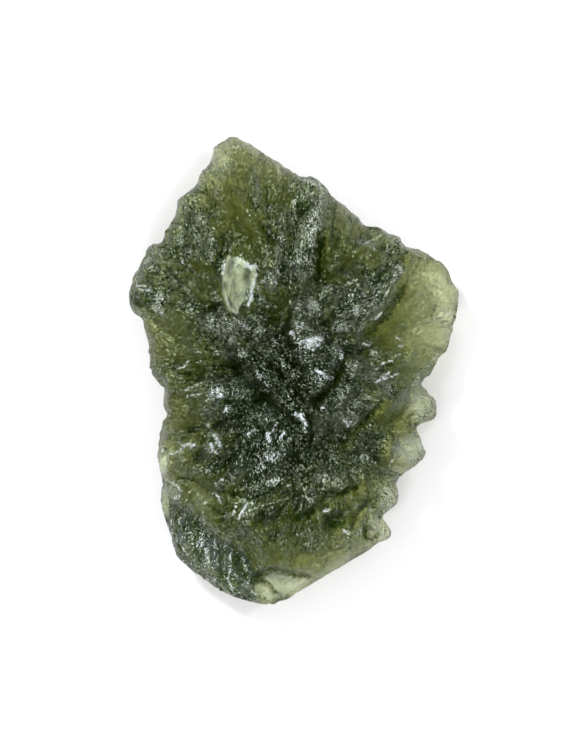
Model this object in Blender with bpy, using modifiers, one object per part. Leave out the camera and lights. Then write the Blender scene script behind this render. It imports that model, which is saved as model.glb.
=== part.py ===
"""Moldavite: a natural shard of green tektite glass, one solid piece.

The shard is a broad, flattish leaf of glass. Its rim is cut into rounded fingers with sharp
notches between them, both faces carry rounded ridges that fan out from a thick core, and the
right shoulder steps down over a ledge to a thin, pale shelf. It lies on its underside.

+X is to the right of the shard, +Y runs up to its pointed tip, +Z is up.
"""
import bmesh
import bpy
import numpy as np
from mathutils import Vector, noise

# ---------------------------------------------------------------- driving dimensions
MM = 0.001            # everything below is in millimetres, the mesh is in metres
LENGTH = 33.4         # tip to foot, along Y
WIDTH = 23.6          # left lobe to right shoulder, along X
THICKNESS = 9.4       # underside to the highest ridge, along Z

VOXEL = 0.26          # grid the raw plate is cut into before the relief is raised
TRIANGLES = 8600      # what is kept of that grid in the finished shard
PLATE = 2.0           # thickness of the raw plate

RIM_LEVEL = 2.7       # height of the thin edge above the ground
RIM_RADIUS = 0.6      # how far in from the edge the rounding of the rim reaches
EDGE_SHARE = 0.36     # thickness left at the very edge, as a share of the full thickness
CROWN_REACH = 7.2     # distance from the edge at which the floor of the grooves is highest

FLOOR_RIM = 3.5       # level of the groove floors near the edge, upper face
FLOOR_CROWN = 6.7     # level of the groove floors over the core
FLUTES = 34           # flutes that fan out all round the core
FLUTE_DEPTH = 1.0     # depth of the sharp valleys between them
CREST_BEND = 0.75     # how strongly a ridge curves down to both sides
LUMPS = 0.5           # unevenness of both faces
WANDER = 0.18         # how far ridges and furrows stray from a straight run
UNDER_RIM = 1.9       # level of the groove floors near the edge, underside
UNDER_CROWN = 1.25    # level of the groove floors under the core
UNDER_FLUTES = 30     # flutes on the underside
UNDER_FLUTE_DEPTH = 0.6

# ---------------------------------------------------------------- outline
# Corners clockwise from the tip, with how far the edge bows outwards on its way to the next.
TIP = [
    (-4.5, 16.7, 0.05), (-3.9, 16.5, 0.05), (-2.6, 15.8, 0), (-1.6, 15.1, 0), (0.6, 13.7, 0),
]
UPPER_RIGHT = [
    (0.9, 13.9, 0.2), (2.4, 12.8, 0.1), (2.6, 12.2, 0), (3.1, 12.2, 0), (4.0, 11.4, 0.1),
    (4.8, 10.5, 0), (5.2, 10.3, 0), (6.1, 10.3, 0), (6.6, 9.7, 0.2), (7.6, 9.3, 0),
]
SHOULDER = [
    (8.0, 8.7, 0), (8.3, 8.8, 0.1), (9.9, 8.1, 0.2), (11.2, 6.8, 0), (11.2, 6.4, 0.2),
    (11.8, 5.1, 0.1), (11.2, 2.9, 0), (11.0, 1.6, 0), (10.4, 1.1, 0.05), (9.9, 0.1, 0.1),
]
TEETH = [
    (9.1, -0.6, 0), (8.9, -1.0, 0.05), (9.8, -1.8, 0.2), (10.1, -3.0, 0.1), (9.8, -3.6, 0),
    (8.4, -3.8, 0.05), (9.2, -5.5, 0.1), (9.4, -6.0, 0.05), (8.9, -6.5, 0.05),
    (7.6, -7.4, 0), (7.1, -8.0, 0.1), (7.5, -8.9, 0.1), (6.8, -9.9, 0.05),
    (5.9, -10.4, 0.05), (6.5, -10.8, 0.05), (7.0, -11.5, 0.15), (6.6, -12.1, 0),
]
FOOT = [
    (6.0, -12.2, 0), (5.5, -12.7, 0), (0.6, -15.6, 0), (-0.6, -16.3, 0.05), (-2.2, -16.7, 0.1),
    (-5.4, -15.6, 0.05), (-6.8, -14.5, 0.05), (-7.4, -14.2, 0), (-8.2, -13.5, 0.1),
]
LOWER_LEFT = [
    (-8.7, -12.1, 0), (-9.5, -9.9, 0.1), (-9.4, -7.7, 0), (-9.7, -7.0, 0.1),
    (-9.6, -5.1, 0.05), (-9.4, -3.6, 0.05),
]
LEFT = [
    (-8.9, -3.3, 0), (-9.4, -2.6, 0.05), (-9.2, -1.2, 0.1), (-10.2, -0.2, 0.05),
    (-10.4, 1.9, 0.05), (-10.9, 3.9, 0.05), (-11.7, 4.4, 0.1), (-11.8, 5.7, 0.05),
    (-11.4, 6.8, 0), (-10.8, 8.0, 0.05),
]
UPPER_LEFT = [
    (-10.1, 9.0, 0.05), (-9.4, 9.1, 0), (-9.1, 10.0, 0), (-8.5, 11.1, 0), (-8.3, 12.2, 0.1),
    (-7.0, 13.0, 0), (-6.8, 13.7, 0), (-6.5, 14.3, 0), (-6.0, 14.6, 0), (-5.8, 15.8, 0.05),
    (-5.5, 16.1, 0), (-4.7, 16.6, 0),
]
OUTLINE = TIP + UPPER_RIGHT + SHOULDER + TEETH + FOOT + LOWER_LEFT + LEFT + UPPER_LEFT

# ---------------------------------------------------------------- relief of the upper face
# Ridges: inner end x, y, outer end x, y, half width, height of the crest inside and outside.
TIP_RIDGES = [
    (-4.2, 9.0, -5.2, 15.6, 0.9, 6.6, 4.6),
    (-3.0, 10.5, -3.4, 15.4, 0.8, 6.2, 4.3),
    (-1.2, 11.2, -1.4, 14.4, 0.8, 6.4, 4.4),
    (-2.2, 10.3, -2.6, 13.2, 0.7, 6.9, 5.3),
]
UPPER_RIDGES = [
    (0.2, 3.5, 1.1, 12.9, 1.4, 8.8, 5.9),
    (-1.4, 6.0, -0.9, 10.2, 1.1, 8.0, 6.8),
    (2.9, 5.2, 3.3, 11.5, 0.7, 7.4, 4.5),
    (4.1, 5.4, 4.6, 10.2, 0.7, 7.2, 4.4),
    (3.2, 3.0, 6.9, 8.9, 1.2, 8.4, 5.6),
    (3.4, 1.8, 7.2, 6.6, 1.1, 8.3, 6.4),
    (2.2, 4.6, 5.4, 7.6, 1.1, 8.0, 6.4),
]
LEFT_RIDGES = [
    (-4.4, 5.6, -7.3, 12.2, 1.3, 7.6, 5.0),
    (-5.3, 6.6, -9.2, 9.6, 0.9, 7.1, 4.7),
    (-5.0, 5.2, -10.9, 7.1, 1.3, 7.5, 4.9),
    (-4.6, 4.0, -11.0, 5.0, 1.0, 7.4, 4.5),
    (-2.9, 2.9, -7.0, 3.6, 0.9, 8.2, 6.4),
    (-3.6, 2.0, -10.0, 2.4, 0.9, 7.5, 4.4),
    (-3.2, 1.0, -9.7, 0.2, 0.8, 7.9, 4.6),
    (-3.6, -0.2, -8.8, -1.8, 0.7, 7.8, 4.7),
    (-3.2, -1.8, -9.0, -2.4, 0.7, 7.4, 4.5),
]
LOWER_LEFT_RIDGES = [
    (-4.0, -3.6, -9.0, -4.4, 0.9, 7.3, 4.4),
    (-4.2, -5.0, -9.2, -6.3, 0.8, 7.1, 4.6),
    (-3.8, -6.8, -9.1, -9.0, 1.1, 7.2, 4.7),
    (-3.5, -8.6, -8.4, -12.3, 1.0, 6.8, 4.5),
    (-2.8, -10.2, -6.4, -14.2, 1.1, 6.6, 4.5),
    (-2.0, -11.4, -4.4, -15.4, 1.0, 6.2, 4.3),
]
CORE_RIDGES = [
    (0.4, 2.6, 2.8, -1.4, 1.5, 9.3, 8.6),
    (-4.2, 2.0, 0.4, -3.6, 1.0, 8.4, 8.0),
    (-2.2, 2.2, 1.6, -2.8, 0.8, 8.7, 8.2),
    (-0.2, -3.8, -3.4, -9.6, 1.3, 8.1, 7.2),
    (1.4, -3.4, 0.6, -9.6, 1.2, 8.0, 6.9),
    (3.0, 0.8, 5.9, -1.6, 1.2, 8.5, 7.8),
]
RIGHT_RIDGES = [
    (3.2, -1.6, 9.2, -2.7, 1.0, 8.0, 4.6),
    (3.0, -3.2, 8.6, -5.8, 1.0, 7.8, 4.3),
    (2.6, -5.4, 6.7, -8.9, 1.0, 7.4, 4.6),
    (2.2, -7.4, 6.3, -11.4, 0.8, 6.9, 4.5),
    (1.0, -9.8, 3.9, -12.2, 0.8, 6.4, 4.5),
    (5.4, 1.0, 9.2, 0.9, 0.9, 7.2, 4.9),
    (5.6, -0.2, 8.4, -0.6, 0.7, 7.3, 5.2),
]
RIDGES = (TIP_RIDGES + UPPER_RIDGES + LEFT_RIDGES + LOWER_LEFT_RIDGES + CORE_RIDGES
          + RIGHT_RIDGES)

# Low, rounded flutes that run out over the thin shelf of the right shoulder.
SHELF_FLUTES = [
    (6.6, 3.0, 10.9, 5.4, 0.8, 4.6, 3.9),
    (7.9, 4.9, 10.5, 7.4, 0.8, 4.5, 3.9),
    (8.6, 6.6, 9.2, 8.2, 0.6, 4.4, 4.0),
    (6.2, 2.2, 10.7, 2.9, 0.8, 4.7, 3.9),
]

# Furrows: x, y, x, y, half width, depth.
FURROWS = [
    (1.8, 9.7, 1.8, 6.2, 0.32, 0.9),
    (2.6, 11.6, 2.6, 9.6, 0.28, 0.6),
    (-4.2, 12.6, -3.6, 8.2, 0.7, 0.9),
    (3.7, 1.9, 2.9, -0.5, 0.32, 0.9),
    (2.9, -0.5, 1.2, -2.1, 0.32, 0.8),
    (-4.2, 0.4, -7.8, -0.1, 0.3, 0.7),
    (6.1, -1.9, 3.7, -5.0, 0.32, 0.8),
    (0.4, -10.5, 4.4, -8.3, 0.3, 0.7),
    (-8.2, -7.4, -5.3, -9.2, 0.28, 0.7),
    (-5.2, 9.4, -5.1, 6.5, 0.3, 0.7),
    (-8.0, -3.4, -5.2, -3.9, 0.3, 0.6),
]

# Pits sunk into the relief: centre x, y, half length, half width, direction in degrees, depth.
PITS = [
    (5.2, 9.5, 1.0, 0.75, 20.0, 1.1),
    (6.1, 8.6, 0.5, 0.4, 0.0, 0.8),
    (0.65, 11.6, 0.7, 0.5, 90.0, 0.7),
    (-6.8, -6.1, 1.0, 0.5, 10.0, 1.0),
    (3.0, -10.7, 1.0, 0.8, 30.0, 1.5),
    (5.5, -11.5, 0.55, 0.45, 60.0, 1.2),
    (-0.3, -9.6, 1.3, 1.1, 80.0, 0.9),
    (7.7, -2.9, 1.2, 0.6, 20.0, 0.8),
    (7.8, -5.7, 0.9, 0.6, 10.0, 0.6),
    (-4.3, 0.4, 1.9, 0.5, 172.0, 0.9),
    (6.2, -5.0, 1.0, 0.7, -50.0, 0.8),
]

# Smooth, shell-shaped chips: centre x, y, half length, half width, direction in degrees, level
# of the bottom, rise from the bottom to the brim.
CHIPS = [
    (-3.9, 6.0, 2.3, 1.15, 100.0, 5.4, 1.1),
    (-1.9, 10.0, 0.9, 0.4, -55.0, 5.3, 0.7),
    (-1.2, -15.1, 1.8, 0.6, -5.0, 3.4, 0.7),
    (-6.4, -12.6, 1.9, 1.1, 125.0, 4.1, 0.8),
    (-3.6, -13.6, 1.6, 0.9, 110.0, 4.2, 0.8),
    (-9.0, -6.4, 1.2, 0.6, 75.0, 3.9, 0.6),
]

# Bevels broken off along a straight line: x, y, x, y, height at the line, rise per millimetre
# to the left of the line.
BEVELS = [
    (6.3, -12.3, 0.4, -15.8, 2.8, 1.25),
    (-2.0, -17.0, -9.0, -13.4, 2.9, 0.95),
    (-8.9, -12.6, -9.9, -7.5, 3.0, 1.10),
]

# The thin shelf of the right shoulder; a ledge runs along its inner side.
SHELF = [
    (7.7, 9.6), (8.8, 8.1), (8.4, 6.9), (7.7, 5.7), (6.6, 4.3), (5.2, 2.6), (6.4, 2.0),
    (8.2, 2.1), (10.4, 1.6), (13.0, 1.4), (13.0, 9.6),
]
SHELF_LEVEL = 3.4     # height of the shelf floor
LEDGE_SLOPE = 4.5     # steepness of the wall above it

# ---------------------------------------------------------------- relief of the underside
# Ridges again, but the crest is how far the ridge reaches down; below zero it is worn flat.
UNDER_RIDGES = [
    (-1.0, 1.2, -4.0, 14.2, 1.2, -0.25, 1.2),
    (0.4, 2.4, 1.2, 12.0, 1.2, 0.1, 1.2),
    (1.6, 3.0, 5.6, 9.0, 1.2, -0.1, 1.2),
    (2.4, 1.4, 10.2, 5.6, 1.2, -0.3, 1.7),
    (2.6, 0.2, 9.8, 1.6, 1.0, 0.1, 1.5),
    (2.4, -1.6, 9.0, -3.0, 1.0, -0.1, 1.4),
    (1.8, -3.2, 8.0, -6.4, 1.0, 0.0, 1.4),
    (1.0, -4.6, 5.4, -11.2, 1.2, -0.3, 1.2),
    (-0.4, -5.2, 0.6, -13.6, 1.2, -0.2, 1.3),
    (-2.0, -5.6, -4.0, -14.0, 1.2, -0.25, 1.2),
    (-3.2, -4.0, -8.4, -9.8, 1.1, 0.0, 1.3),
    (-3.6, -2.2, -8.6, -4.8, 1.0, 0.05, 1.4),
    (-3.4, -0.2, -9.2, -0.6, 1.0, -0.25, 1.4),
    (-3.2, 1.6, -10.2, 4.8, 1.2, -0.3, 1.3),
    (-2.6, 3.2, -7.8, 10.0, 1.1, -0.1, 1.3),
    (-1.6, 0.4, 1.4, -2.2, 1.6, -0.35, -0.35),
]
UNDER_PITS = [
    (-0.6, 6.2, 1.4, 0.9, 70.0, 0.8),
    (4.6, -1.2, 1.2, 0.8, 10.0, 0.7),
    (-5.4, -6.6, 1.5, 0.9, 40.0, 0.8),
    (5.0, 5.6, 1.2, 0.8, 50.0, 0.6),
    (1.4, -9.0, 1.1, 0.8, 100.0, 0.7),
]


# ---------------------------------------------------------------- measuring helpers
def outline_points(corners):
    """Corners joined by straight edges, or by shallow arcs where the edge bows."""
    points = []
    for here, after in zip(corners, corners[1:] + corners[:1]):
        start = np.array(here[:2])
        step = np.array(after[:2]) - start
        points.append(tuple(start))
        if here[2] == 0:
            continue
        outward = np.array([-step[1], step[0]]) / np.hypot(*step)
        for t in (0.25, 0.5, 0.75):
            points.append(tuple(start + t * step + 4 * t * (1 - t) * here[2] * outward))
    return points


def along(x, y, x0, y0, x1, y1):
    """Distance of every point from a line piece, and how far along it the nearest spot is."""
    dx = x1 - x0
    dy = y1 - y0
    t = np.clip(((x - x0) * dx + (y - y0) * dy) / (dx * dx + dy * dy), 0, 1)
    return np.hypot(x - x0 - t * dx, y - y0 - t * dy), t


def edge_distance(x, y, points):
    """Distance of every point from the outline."""
    best = np.full(len(x), 1e9)
    for (x0, y0), (x1, y1) in zip(points, points[1:] + points[:1]):
        best = np.minimum(best, along(x, y, x0, y0, x1, y1)[0])
    return best


def oval(x, y, shape):
    """Distance from the middle of an oval as a share of its size: one on the oval itself."""
    cx, cy, half_length, half_width, degrees = shape[:5]
    turn = np.radians(degrees)
    u = ((x - cx) * np.cos(turn) + (y - cy) * np.sin(turn)) / half_length
    v = ((y - cy) * np.cos(turn) - (x - cx) * np.sin(turn)) / half_width
    return np.hypot(u, v)


def dish(x, y, pit):
    """How deep a bowl-shaped pit is at every point."""
    return pit[5] * np.clip(1 - oval(x, y, pit) ** 2, 0, None)


def ridge_height(x, y, ridge):
    """Height of one rounded ridge, narrow inside, wider towards the rim."""
    x0, y0, x1, y1, half_width, crest_in, crest_out = ridge
    distance, t = along(x, y, x0, y0, x1, y1)
    half_width = half_width * (0.65 + 0.35 * t)
    return crest_in + (crest_out - crest_in) * t - CREST_BEND * distance ** 2 / half_width


def left_of(x, y, x0, y0, x1, y1):
    """Signed distance to the left of a straight line."""
    length = np.hypot(x1 - x0, y1 - y0)
    return ((x1 - x0) * (y - y0) - (y1 - y0) * (x - x0)) / length


def outside_of(x, y, corners):
    """Distance of every point from a closed area, zero within it."""
    inside = np.zeros(len(x), bool)
    for (x0, y0), (x1, y1) in zip(corners, corners[1:] + corners[:1]):
        crosses = (y0 > y) != (y1 > y)
        reach = x0 + (y - y0) * (x1 - x0) / (y1 - y0 if y1 != y0 else 1)
        inside ^= crosses & (x < reach)
    return np.where(inside, 0, edge_distance(x, y, corners))


def flutes(x, y, number):
    """Rounded flutes with sharp valleys, running out from a long, slightly bent core."""
    from_core_x = x - (0.8 - 0.16 * np.clip(y, 0, None))
    from_core_y = y - np.clip(0.45 * y, -3.8, 6.0)
    crest = np.abs(np.sin(np.arctan2(from_core_y, from_core_x) * number / 2))
    return crest * np.clip(np.hypot(from_core_x, from_core_y) / 6, 0, 1) ** 2


def unevenness(x, y, size, seed):
    """Soft, irregular swelling of a given size, between about -0.5 and 0.5."""
    spots = [noise.noise(Vector((u, v, seed))) for u, v in zip(x / size, y / size)]
    return np.array(spots)


# ---------------------------------------------------------------- the two faces
def top_height(x, y, inward):
    """Height of the upper face."""
    crown = np.sin(np.clip(inward / CROWN_REACH, 0, 1) * np.pi / 2)
    z = FLOOR_RIM + (FLOOR_CROWN - FLOOR_RIM) * crown
    z = z + FLUTE_DEPTH * flutes(x, y, FLUTES) * (0.8 + unevenness(x, y, 3.6, 5.0))
    for ridge in RIDGES:
        z = np.maximum(z, ridge_height(x, y, ridge))
    for x0, y0, x1, y1, half_width, depth in FURROWS:
        distance, _ = along(x, y, x0, y0, x1, y1)
        z = z - depth * np.clip(1 - distance / (1.6 * half_width), 0, 1)
    shelf = np.full(len(x), SHELF_LEVEL)
    for flute in SHELF_FLUTES:
        shelf = np.maximum(shelf, ridge_height(x, y, flute))
    z = np.minimum(z, shelf + LEDGE_SLOPE * outside_of(x, y, SHELF))
    for x0, y0, x1, y1, level, rise in BEVELS:
        z = np.minimum(z, level + rise * left_of(x, y, x1, y1, x0, y0))
    for pit in PITS:
        z = z - dish(x, y, pit)
    return z


def chipped(x, y, z):
    """The upper face with the smooth chips taken out of it."""
    for chip in CHIPS:
        level, rise = chip[5:]
        z = np.minimum(z, level + rise * oval(x, y, chip) ** 2)
    return z


def under_height(x, y, inward):
    """Height of the underside; ridges that reach below zero are worn flat later."""
    crown = np.sin(np.clip(inward / CROWN_REACH, 0, 1) * np.pi / 2)
    z = UNDER_RIM + (UNDER_CROWN - UNDER_RIM) * crown
    z = z - UNDER_FLUTE_DEPTH * flutes(x, y, UNDER_FLUTES)
    for ridge in UNDER_RIDGES:
        x0, y0, x1, y1, half_width, reach_in, reach_out = ridge
        distance, t = along(x, y, x0, y0, x1, y1)
        reach = reach_in + (reach_out - reach_in) * t
        z = np.minimum(z, reach + CREST_BEND * distance ** 2 / half_width)
    for pit in UNDER_PITS:
        z = z + dish(x, y, pit)
    return z


def raise_relief(mesh, points):
    """Move the skin of the flat plate onto the upper face and the underside."""
    co = np.empty(len(mesh.vertices) * 3)
    mesh.vertices.foreach_get("co", co)
    co = co.reshape(-1, 3) / MM
    x, y = co[:, 0], co[:, 1]
    share = np.clip(co[:, 2] / PLATE, 0, 1)
    inward = edge_distance(x, y, points)
    bent_x = x + WANDER * np.sin(1.1 * y + 0.6) + WANDER / 2 * np.sin(2.7 * y - 1.2 * x)
    bent_y = y + WANDER * np.sin(1.2 * x - 0.4) + WANDER / 2 * np.sin(2.4 * x + 1.1 * y)
    lumps = LUMPS * unevenness(x, y, 2.2, 3.0) + LUMPS / 2 * unevenness(x, y, 0.95, 8.0)
    round_off = np.sqrt(1 - (1 - np.clip(inward / RIM_RADIUS, 0, 1)) ** 2)
    round_off = EDGE_SHARE + (1 - EDGE_SHARE) * round_off
    top = chipped(x, y, top_height(bent_x, bent_y, inward) + lumps)
    under = np.clip(under_height(bent_x, bent_y, inward) - 0.6 * lumps, 0, None)
    top = RIM_LEVEL + (np.maximum(top, RIM_LEVEL + 0.3) - RIM_LEVEL) * round_off
    under = RIM_LEVEL + (np.minimum(under, RIM_LEVEL - 0.3) - RIM_LEVEL) * round_off
    co[:, 2] = under + (top - under) * share
    mesh.vertices.foreach_set("co", (co * MM).ravel())
    mesh.update()


# ---------------------------------------------------------------- building the solid
def plate_outline(points):
    """The outline as a flat curve, filled on both sides and given the plate's thickness."""
    curve = bpy.data.curves.new("moldavite outline", "CURVE")
    curve.dimensions = "2D"
    curve.fill_mode = "BOTH"
    curve.extrude = PLATE * MM / 2
    spline = curve.splines.new("POLY")
    spline.points.add(len(points) - 1)
    for spot, (x, y) in zip(spline.points, points):
        spot.co = (x * MM, y * MM, 0, 1)
    spline.use_cyclic_u = True
    return curve


def applied(thing):
    """The mesh of an object with its modifiers worked in."""
    graph = bpy.context.evaluated_depsgraph_get()
    mesh = bpy.data.meshes.new_from_object(thing.evaluated_get(graph))
    thing.modifiers.clear()
    return mesh


def plate_mesh(home, points):
    """The plate as a closed mesh that stands on the ground, its caps welded to its wall."""
    guide = bpy.data.objects.new("moldavite outline", plate_outline(points))
    home.objects.link(guide)
    mesh = applied(guide)
    bpy.data.objects.remove(guide)
    bm = bmesh.new()
    bm.from_mesh(mesh)
    bmesh.ops.remove_doubles(bm, verts=bm.verts, dist=0.00001)
    bmesh.ops.recalc_face_normals(bm, faces=bm.faces)
    bmesh.ops.translate(bm, verts=bm.verts, vec=(0, 0, PLATE * MM / 2))
    bm.to_mesh(mesh)
    bm.free()
    return mesh


def fit_to_size(mesh):
    """Settle the flat spots on the ground and bring the shard to its three main sizes."""
    co = np.empty(len(mesh.vertices) * 3)
    mesh.vertices.foreach_get("co", co)
    co = co.reshape(-1, 3) / MM
    co[:, 2] = np.where(co[:, 2] < 0.03, 0, co[:, 2])
    low = co.min(axis=0)
    high = co.max(axis=0)
    middle = (low + high) / 2
    size = high - low
    co[:, 0] = (co[:, 0] - middle[0]) * WIDTH / size[0]
    co[:, 1] = (co[:, 1] - middle[1]) * LENGTH / size[1]
    co[:, 2] = co[:, 2] * THICKNESS / high[2]
    mesh.vertices.foreach_set("co", (co * MM).ravel())
    mesh.update()


def glass():
    """Green tektite glass, see-through with a deep bottle-green body."""
    material = bpy.data.materials.new("moldavite glass")
    material.use_nodes = True
    shader = material.node_tree.nodes["Principled BSDF"]
    shader.inputs["Base Color"].default_value = (0.13, 0.17, 0.06, 1)
    shader.inputs["Roughness"].default_value = 0.25
    shader.inputs["IOR"].default_value = 1.49
    shader.inputs["Transmission Weight"].default_value = 0.6
    return material


def build():
    """Plate, fine grid, relief, then only the triangles that carry the shape."""
    for thing in list(bpy.data.objects):
        bpy.data.objects.remove(thing)
    home = bpy.data.collections.new("Moldavite")
    bpy.context.scene.collection.children.link(home)

    points = outline_points(OUTLINE)
    shard = bpy.data.objects.new("moldavite", plate_mesh(home, points))
    home.objects.link(shard)

    grid = shard.modifiers.new("fine grid", "REMESH")
    grid.mode = "VOXEL"
    grid.voxel_size = VOXEL * MM
    shard.data = applied(shard)
    raise_relief(shard.data, points)

    cut = shard.modifiers.new("triangles", "TRIANGULATE")
    cut.min_vertices = 4
    thin = shard.modifiers.new("thin out", "DECIMATE")
    thin.ratio = TRIANGLES / (2 * len(shard.data.polygons))
    shard.data = applied(shard)
    fit_to_size(shard.data)

    shard.data.name = "moldavite"
    shard.data.materials.clear()
    shard.data.materials.append(glass())
    print("triangles", len(shard.data.polygons), "vertices", len(shard.data.vertices))


build()
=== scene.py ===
# %% [markdown]
# # Dressing a moldavite
# Moldavite is green natural glass, splashed out by a meteorite and then etched in the ground for
# millions of years. The plain solid already has the shard's outline, fingers, ridges and ledge.
# What is missing is the skin: fine furrows that run out from the core, grainy etching, glossy
# fresh chips, and the glass itself. This lesson adds them one at a time. The solid is loaded
# first and never changed: the finished shard is a finer copy that stands in its place.

# %% Load the plain solid
import math
import bpy
import numpy as np
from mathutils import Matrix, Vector, noise


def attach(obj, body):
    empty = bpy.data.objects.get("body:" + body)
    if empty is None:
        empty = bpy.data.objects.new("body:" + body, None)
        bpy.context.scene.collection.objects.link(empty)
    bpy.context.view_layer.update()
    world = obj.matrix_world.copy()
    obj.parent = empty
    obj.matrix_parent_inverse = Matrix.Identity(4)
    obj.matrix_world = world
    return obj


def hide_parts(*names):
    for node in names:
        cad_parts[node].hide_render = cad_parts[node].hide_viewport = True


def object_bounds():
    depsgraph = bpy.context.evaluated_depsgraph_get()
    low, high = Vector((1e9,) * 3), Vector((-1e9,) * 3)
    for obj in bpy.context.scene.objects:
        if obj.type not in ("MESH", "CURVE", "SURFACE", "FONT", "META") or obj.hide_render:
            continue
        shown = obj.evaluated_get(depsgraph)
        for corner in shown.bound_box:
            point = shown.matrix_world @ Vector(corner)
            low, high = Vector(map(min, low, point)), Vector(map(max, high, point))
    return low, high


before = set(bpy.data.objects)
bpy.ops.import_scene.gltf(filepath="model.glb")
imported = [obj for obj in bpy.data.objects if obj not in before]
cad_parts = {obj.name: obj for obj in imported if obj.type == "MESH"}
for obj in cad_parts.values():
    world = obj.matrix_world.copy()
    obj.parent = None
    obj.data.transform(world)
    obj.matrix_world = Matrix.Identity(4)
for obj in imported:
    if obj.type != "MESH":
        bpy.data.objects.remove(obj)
cad_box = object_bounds()
MM = 0.001
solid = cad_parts["moldavite"]
print("solid box in mm:", [[round(v / MM, 2) for v in corner] for corner in cad_box])

# %% [markdown]
# ## Camera
# The shard is seen from straight above, as a specimen is on a light table. A long lens from
# about 0.3 m keeps the ridges of the thick core from spreading outwards. The picture is 750
# pixels high, and the rim of the shard, which lies a few millimetres up, is drawn at 14 pixels
# per millimetre.

# %% Camera
PIXELS_HIGH = 750
PIXELS_PER_MM = 14.0
RIM_LEVEL = 2.8
LENS = 200.0
SENSOR = 36.0
VIEW_CENTRE = (-0.89, -0.29)

camera = bpy.data.objects.new("camera", bpy.data.cameras.new("camera"))
bpy.context.scene.collection.objects.link(camera)
bpy.context.scene.camera = camera
camera.data.lens = LENS
camera.data.sensor_width = SENSOR
camera.data.clip_start = 0.01
camera.data.clip_end = 10
distance = PIXELS_HIGH / PIXELS_PER_MM * LENS / SENSOR
camera.location = Vector((*VIEW_CENTRE, RIM_LEVEL + distance)) * MM
print("camera stands", round(distance), "mm above the rim")

# %% [markdown]
# ## Floor and light
# The shard lies on white card under an even dome of light, as in a light tent. Etched glass
# shows the dome badly: every rough facet mirrors some of it, and the whole core turns to fog. In
# a real tent black cards keep those mirrors dark, and here the dome simply isn't mirrored. It
# still shines through the glass and on the card. Some sparkle comes from four small, bluish
# lamps instead: a facet flashes only when it tips halfway towards one of them. Most glints are
# painted white into the skin's colour further on.

# %% Floor and light
scene = bpy.context.scene
scene.view_settings.view_transform = "Standard"
scene.cycles.max_bounces = 20
scene.cycles.transmission_bounces = 20
scene.cycles.diffuse_bounces = 5
scene.cycles.glossy_bounces = 8

CARD = (0.90, 0.88, 0.885, 1)
DOME_LIGHT, DOME_STRENGTH = (1, 0.985, 0.995, 1), 0.78
LAMP_COLOUR = (0.92, 0.96, 1.0)
floor_mesh = bpy.data.meshes.new("floor")
reach = 1.5
floor_mesh.from_pydata(
    [(-reach, -reach, 0), (reach, -reach, 0), (reach, reach, 0), (-reach, reach, 0)],
    [], [(0, 1, 2, 3)])
floor = bpy.data.objects.new("floor", floor_mesh)
scene.collection.objects.link(floor)
paper = bpy.data.materials.new("pale card")
paper.use_nodes = True
paper_shader = paper.node_tree.nodes["Principled BSDF"]
paper_shader.inputs["Base Color"].default_value = CARD
paper_shader.inputs["Roughness"].default_value = 0.8
paper_shader.inputs["Specular IOR Level"].default_value = 0.2
floor_mesh.materials.append(paper)

world = bpy.data.worlds.new("studio")
scene.world = world
world.use_nodes = True
dome = world.node_tree.nodes["Background"]
dome.inputs["Color"].default_value = DOME_LIGHT
dome.inputs["Strength"].default_value = DOME_STRENGTH
world.cycles_visibility.glossy = False
world.cycles.sampling_method = "NONE"


def soft_box(name, azimuth, height, away, side, watts):
    """A square lamp that looks at the shard from a compass direction and a height in degrees."""
    lamp = bpy.data.lights.new(name, "AREA")
    lamp.shape = "SQUARE"
    lamp.size = side
    lamp.energy = watts
    lamp.color = LAMP_COLOUR
    box = bpy.data.objects.new(name, lamp)
    turn, rise = math.radians(azimuth), math.radians(height)
    way = Vector((math.cos(rise) * math.cos(turn), math.cos(rise) * math.sin(turn), math.sin(rise)))
    box.location = way * away
    box.rotation_euler = way.to_track_quat("Z", "Y").to_euler()
    scene.collection.objects.link(box)
    return box


MAIN_BOX = (128, 46, 0.45, 0.08, 1.3)
soft_box("main box", *MAIN_BOX)
for name, azimuth in (("right box", 20), ("low box", 250), ("far box", 310)):
    soft_box(name, azimuth, 38, 0.45, 0.08, 0.5)

# %% [markdown]
# ## A finer copy
# The solid's triangles are half a millimetre long, far too coarse for etching. A voxel remesh
# cuts the same body into even squares of about a sixth of a millimetre, which keeps it under two
# hundred thousand triangles, and a light smoothing takes away the flat facets. A subdivision
# would also give small faces, but it would leave the long thin triangles long and thin, and
# relief moved into them would look torn.

# %% A finer copy
GRID = 0.157
shard = bpy.data.objects.new("moldavite_glass", solid.data.copy())
shard.data.transform(solid.matrix_world)
shard.data.materials.clear()
scene.collection.objects.link(shard)
remesh = shard.modifiers.new("even grid", "REMESH")
remesh.mode = "VOXEL"
remesh.voxel_size = GRID * MM
melt = shard.modifiers.new("no facets", "SMOOTH")
melt.factor = 0.5
melt.iterations = 4
graph = bpy.context.evaluated_depsgraph_get()
shard.data = bpy.data.meshes.new_from_object(shard.evaluated_get(graph))
shard.modifiers.clear()


def read(values, name, width, kind=float):
    """One number or vector for every point or edge of a mesh."""
    out = np.empty(len(values) * width, np.float32 if kind is float else np.int32)
    values.foreach_get(name, out)
    return out.astype(kind).reshape(-1, width)


points = read(shard.data.vertices, "co", 3) / MM
normals = read(shard.data.vertex_normals, "vector", 3)
edges = read(shard.data.edges, "vertices", 2, int)
neighbours = np.bincount(edges.ravel(), minlength=len(points))
x, y, z = points.T
facing_up = np.clip(normals[:, 2] * 2, 0, 1)
above = np.clip(0.6 + 2.5 * normals[:, 2], 0, 1)
print("points:", len(points), "triangles:", 2 * len(shard.data.polygons))

# %% [markdown]
# ## Evening out
# Several marks later on need to know what lies around a point. Passing the values along the edges
# of the mesh a few times answers that, and it works on any closed shape.

# %% Evening out


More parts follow.
